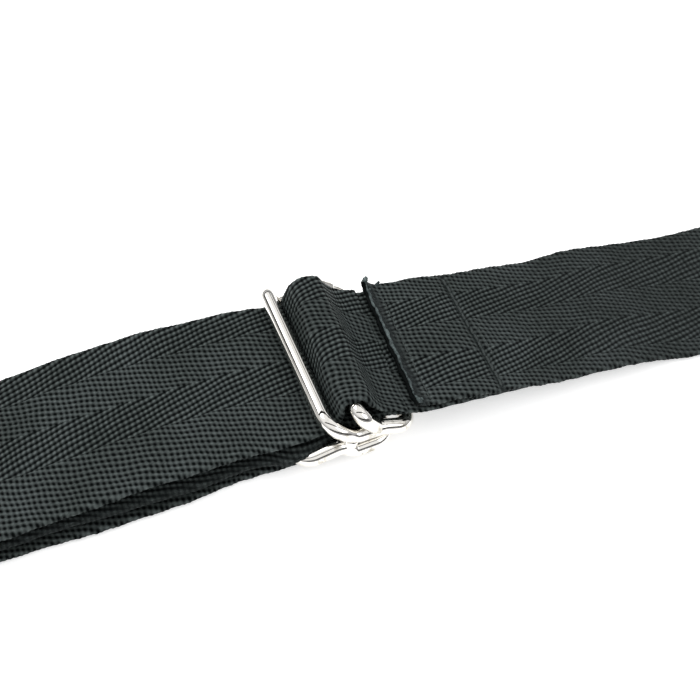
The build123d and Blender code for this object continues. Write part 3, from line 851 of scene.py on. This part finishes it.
near = [UP_L, (7.5, RAIL_Z), (15.0, RAIL_Z + 0.7), (UP_R[0], UP_R[1] + 0.7)]
far = [UP_R, (15.6, RAIL_Z), (9.6, RAIL_Z - 0.9), (2.9, RAIL_Z - 1.2), UP_L]
pts = [(x, -Y, z) for x, z in near] + [(x, Y, z) for x, z in far]
upper = tube("upper_wire_frame", space_path(pts, [6.0, 4.5, 4.5, 4.2, 4.2, 4.5, 4.0, 2.5, 2.6], True), WIRE / 2, M_CHROME, closed=True, seg=40)
seam = [blob((12.6, Y, RAIL_Z - 0.45), 2.36, (0.22, 1.02, 1.02), 2)]
upper = join("upper_wire_frame", [upper] + seam)
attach(upper, "slider"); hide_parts("upper_slider_frame")

pts = [(13.8, -Y, RAIL_Z + 0.8), (UP_C[0], -Y, UP_C[1]), (UP_C[0] + 2.2, Y, UP_C[1] - 1.0), (19.6, Y, RAIL_Z - 0.2)]
bar = tube("upper_middle_bar", space_path(pts, [3.2, 3.2], False), WIRE / 2, M_CHROME, seg=36)
bar = join("upper_middle_bar", [bar, blob((18.6, Y, RAIL_Z + 0.1), 2.0, (1.25, 1.0, 0.7), 6)])
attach(bar, "slider"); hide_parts("upper_centre_bar")

near = [LO_L, (3.6, 6.7), (7.4, 3.7), LO_R]
pts = [(x, -Y, z) for x, z in near] + [(x, Y, z) for x, z in reversed(near)]
lower = tube("lower_wire_frame", space_path(pts, [4.5, 2.6, 2.6, 4.2, 4.2, 2.6, 2.6, 4.5], True), WIRE / 2, M_CHROME, closed=True, seg=40)
lower = join("lower_wire_frame", [lower, blob((-2.0, Y, 5.32), 2.36, (0.22, 1.02, 1.02), 3)])
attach(lower, "slider"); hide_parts("lower_slider_frame")

pts = [(LO_C[0] + 1.4, -Y, RAIL_Z - 0.6), (LO_C[0], -Y, LO_C[1]), (LO_C[0], Y, LO_C[1]), (LO_C[0] + 1.4, Y, RAIL_Z - 0.6)]
cb = tube("lower_middle_bar", space_path(pts, [2.9, 2.9], False), WIRE / 2, M_CHROME, seg=36)
cb = join("lower_middle_bar", [cb] + [blob((LO_C[0] + 1.3, s * Y, RAIL_Z - 1.2), 2.1, (1.2, 1.0, 0.7), 7 + s) for s in (-1, 1)] + [blob((LO_C[0] + 0.3, s * Y, 4.9), 2.1, (1.25, 1.0, 0.9), 9 + s) for s in (-1, 1)])
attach(cb, "slider"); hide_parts("lower_centre_bar")

pts = [(RING[0], -Y, RING[1]), (TAIL[0], -Y, TAIL[1]), (TAIL[0], Y, TAIL[1]), (RING[0], Y, RING[1])]
ring = tube("wire_ring", space_path(pts, [4.5, 2.8, 2.8, 4.5], True), WIRE / 2, M_CHROME, closed=True, seg=40)
ring = join("wire_ring", [ring, blob(((RING[0] + TAIL[0]) / 2, Y, (RING[1] + TAIL[1]) / 2), 2.36, (0.25, 1.02, 1.02), 4)])
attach(ring, "ring"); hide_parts("tail_ring")


# ------------------------------------------------------------------ leather ends
def leather_piece(name, node, mat, holes, top):
    """The CAD ply, remeshed fine, its edges smoothed round, drawn in by its stitches."""
    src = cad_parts[node]
    me = src.data.copy(); me.name = name
    o = bpy.data.objects.new(name, me)
    bpy.context.scene.collection.objects.link(o)
    me.materials.clear(); me.materials.append(mat)
    m1 = o.modifiers.new("r", "REMESH"); m1.mode = "VOXEL"; m1.voxel_size = 0.00042; m1.use_smooth_shade = True
    m2 = o.modifiers.new("s", "SMOOTH"); m2.factor = 0.5; m2.iterations = 4
    dg = bpy.context.evaluated_depsgraph_get()
    new = bpy.data.meshes.new_from_object(o.evaluated_get(dg))
    o.modifiers.clear(); o.data = new; new.name = name
    new.materials.clear(); new.materials.append(mat)
    co = np.zeros(len(new.vertices) * 3, np.float32); new.vertices.foreach_get("co", co); co = co.reshape(-1, 3).astype(float)
    no = np.zeros_like(co, dtype=np.float32).ravel(); new.vertices.foreach_get("normal", no); no = no.reshape(-1, 3)
    q = co / MM
    d = np.zeros(len(co))
    upf = np.clip(no[:, 2] if top else -no[:, 2], 0, 1)
    for hx, hy in holes:
        d -= 0.34 * upf * np.exp(-((q[:, 0] - hx) ** 2 + (q[:, 1] - hy) ** 2) / 1.1 ** 2)
    ph = rng.uniform(0, 6.28, 6)
    d += 0.07 * (np.sin(q[:, 0] * 1.9 + ph[0]) * np.sin(q[:, 1] * 1.6 + ph[1]) + np.sin(q[:, 0] * 0.7 + q[:, 1] * 0.9 + ph[2]))
    if top:
        d += 0.10 * upf * np.sin(q[:, 0] / 5.0 + ph[3]) * np.sin(q[:, 1] / 7.0 + ph[4])
    co += no * (d * MM)[:, None]
    new.vertices.foreach_set("co", co.astype(np.float32).ravel()); new.update()
    for p in new.polygons: p.use_smooth = True
    return o


for sgn, body in ((1, "strap"), (-1, "tail")):
    who = "shoulder" if sgn > 0 else "tail"
    edge = 28.0 - 3.2
    line = []
    def add(p, q, n):
        for i in range(n):
            a, b = (i + 0.06) / n, (i + 0.80) / n
            line.append((np.array(p) + (np.array(q) - np.array(p)) * a, np.array(p) + (np.array(q) - np.array(p)) * b))
    add((392.0, -edge), (392.0, edge), 15)
    add((392.0, edge), (413.5, edge), 7)
    add((392.0, -edge), (413.5, -edge), 7)
    add((413.5, -edge), (413.5, edge), 15)
    add((394.0, -edge + 2), (412.0, edge - 2), 14)
    add((394.0, edge - 2), (412.0, -edge + 2), 14)
    holes = [(sgn * h[0], h[1]) for l in line for h in l]
    top = leather_piece(f"{who}_leather_front", f"{who}_leather_top", M_LEATHER, holes, True)
    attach(top, body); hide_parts(f"{who}_leather_top")
    back = leather_piece(f"{who}_leather_back", f"{who}_leather_bottom", M_LEATHER_B, [], False)
    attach(back, body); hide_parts(f"{who}_leather_bottom")
    zt = B(f"{who}_leather_top")[1][2]
    st = [stitch((sgn * a[0], a[1], zt - 0.04), (sgn * b[0], b[1], zt - 0.04), (0, 0, 1), r=0.33, seed=200 + i) for i, (a, b) in enumerate(line)]
    o = join(f"{who}_leather_sewing", st)
    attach(o, body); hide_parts(f"{who}_leather_stitches")

# ------------------------------------------------------------------ floor, light, camera
t = Tree("pale_floor")
co_ = t.new("ShaderNodeTexCoord")
t.nt.links.new(t.mix(t.noise(co_.outputs["Object"], 6.0, 2.0) * 0.02, (0.90, 0.90, 0.90), (0.86, 0.86, 0.86)), t.p.inputs["Base Color"])
t.p.inputs["Roughness"].default_value = 0.95
t.p.inputs["Specular IOR Level"].default_value = 0.1
t.p.inputs["Emission Color"].default_value = (1, 1, 1, 1)
t.p.inputs["Emission Strength"].default_value = 0.50
bm = bmesh.new(); bmesh.ops.create_grid(bm, x_segments=2, y_segments=2, size=6.0)
me = bpy.data.meshes.new("floor"); bm.to_mesh(me); bm.free(); me.materials.append(t.mat)
floor = bpy.data.objects.new("floor", me); floor.location = (0, 0, -0.0006)
bpy.context.scene.collection.objects.link(floor)

w = bpy.data.worlds.new("studio"); bpy.context.scene.world = w; w.use_nodes = True
nt = w.node_tree
geo = nt.nodes.new("ShaderNodeTexCoord"); sx = nt.nodes.new("ShaderNodeSeparateXYZ"); rp_ = nt.nodes.new("ShaderNodeValToRGB")
nt.links.new(geo.outputs["Generated"], sx.inputs[0]); nt.links.new(sx.outputs["Z"], rp_.inputs["Fac"])
el = rp_.color_ramp.elements
el[0].position, el[0].color = 0.02, (0.30, 0.30, 0.31, 1)
el[1].position, el[1].color = 0.60, (1.0, 1.0, 1.0, 1)
k = el.new(0.30); k.color = (0.55, 0.55, 0.56, 1)
nt.links.new(rp_.outputs["Color"], nt.nodes["Background"].inputs["Color"])
nt.nodes["Background"].inputs["Strength"].default_value = 1.0


def area(name, loc, aim, size, power, color=(1, 1, 1)):
    l = bpy.data.lights.new(name, "AREA"); l.shape = "RECTANGLE"; l.size, l.size_y = size; l.energy = power; l.color = color
    o = bpy.data.objects.new(name, l); o.location = loc
    o.rotation_euler = (Vector(aim) - Vector(loc)).to_track_quat("-Z", "Y").to_euler()
    bpy.context.scene.collection.objects.link(o)
    return o


area("key", (-0.5, 0.55, 1.1), (0, 0, 0), (0.9, 0.9), 7.0)
area("fill", (0.7, -0.7, 0.9), (0, 0, 0), (0.8, 0.8), 2.5)


def flag(name, axis, radius, turn, width, lo, hi, shade):
    """A long narrow card beside the set, seen only in the polished wire."""
    c = Tree(name + "_mat")
    c.p.inputs["Base Color"].default_value = (shade, shade, shade * 0.97, 1); c.p.inputs["Roughness"].default_value = 1.0
    a0, a1 = math.radians(turn - width / 2), math.radians(turn + width / 2)
    v = []
    for along, a in ((lo, a0), (hi, a0), (hi, a1), (lo, a1)):
        p, z = radius * math.sin(a), radius * math.cos(a)
        v.append((p, along, z) if axis == "y" else (along, p, z))
    me = bpy.data.meshes.new(name); me.from_pydata(v, [], [(0, 1, 2, 3)]); me.materials.append(c.mat)
    o = bpy.data.objects.new(name, me); bpy.context.scene.collection.objects.link(o)
    o.visible_camera = False; o.visible_diffuse = False; o.visible_shadow = False


flag("flag_1", "y", 0.80, -50, 11, 0.20, 1.20, 0.0)
flag("flag_2", "y", 0.80, 33, 9, 0.20, 1.20, 0.02)
flag("flag_3", "y", 0.90, -82, 20, 0.05, 1.30, 0.45)
flag("flag_4", "x", 0.90, -70, 13, -0.9, 1.3, 0.0)
flag("flag_5", "x", 0.90, 27, 10, -0.9, 1.3, 0.02)
flag("flag_6", "x", 0.95, -22, 8, -0.9, 1.3, 0.02)
flag("flag_7", "x", 0.95, 62, 9, -0.9, 1.3, 0.05)

AZ, EL, ROLL, DIST, SCALE = math.radians(-20.4), math.radians(46.9), math.radians(0.6), 0.400, 3.50
back = Vector((math.sin(AZ) * math.cos(EL), -math.cos(AZ) * math.cos(EL), math.sin(EL)))
target = Vector((0.0168, 0.0029, 0.010))
cam = bpy.data.cameras.new("camera"); cam_o = bpy.data.objects.new("camera", cam)
bpy.context.scene.collection.objects.link(cam_o); bpy.context.scene.camera = cam_o
right = Vector((math.cos(AZ), math.sin(AZ), 0)); up = back.cross(right)
r2 = right * math.cos(ROLL) + up * math.sin(ROLL); u2 = -right * math.sin(ROLL) + up * math.cos(ROLL)
rot = Matrix((r2, u2, back)).transposed()
cam_o.matrix_world = Matrix.Translation(target + back * DIST) @ rot.to_4x4()
cam.sensor_width = 36.0
cam.lens = 36.0 * SCALE * DIST * 1000 / 700.0
cam.clip_start, cam.clip_end = 0.02, 20.0
cam.shift_x, cam.shift_y = 0.0016, -0.0028
bpy.context.scene.view_settings.view_transform = "Standard"
bpy.context.scene.view_settings.look = "None"
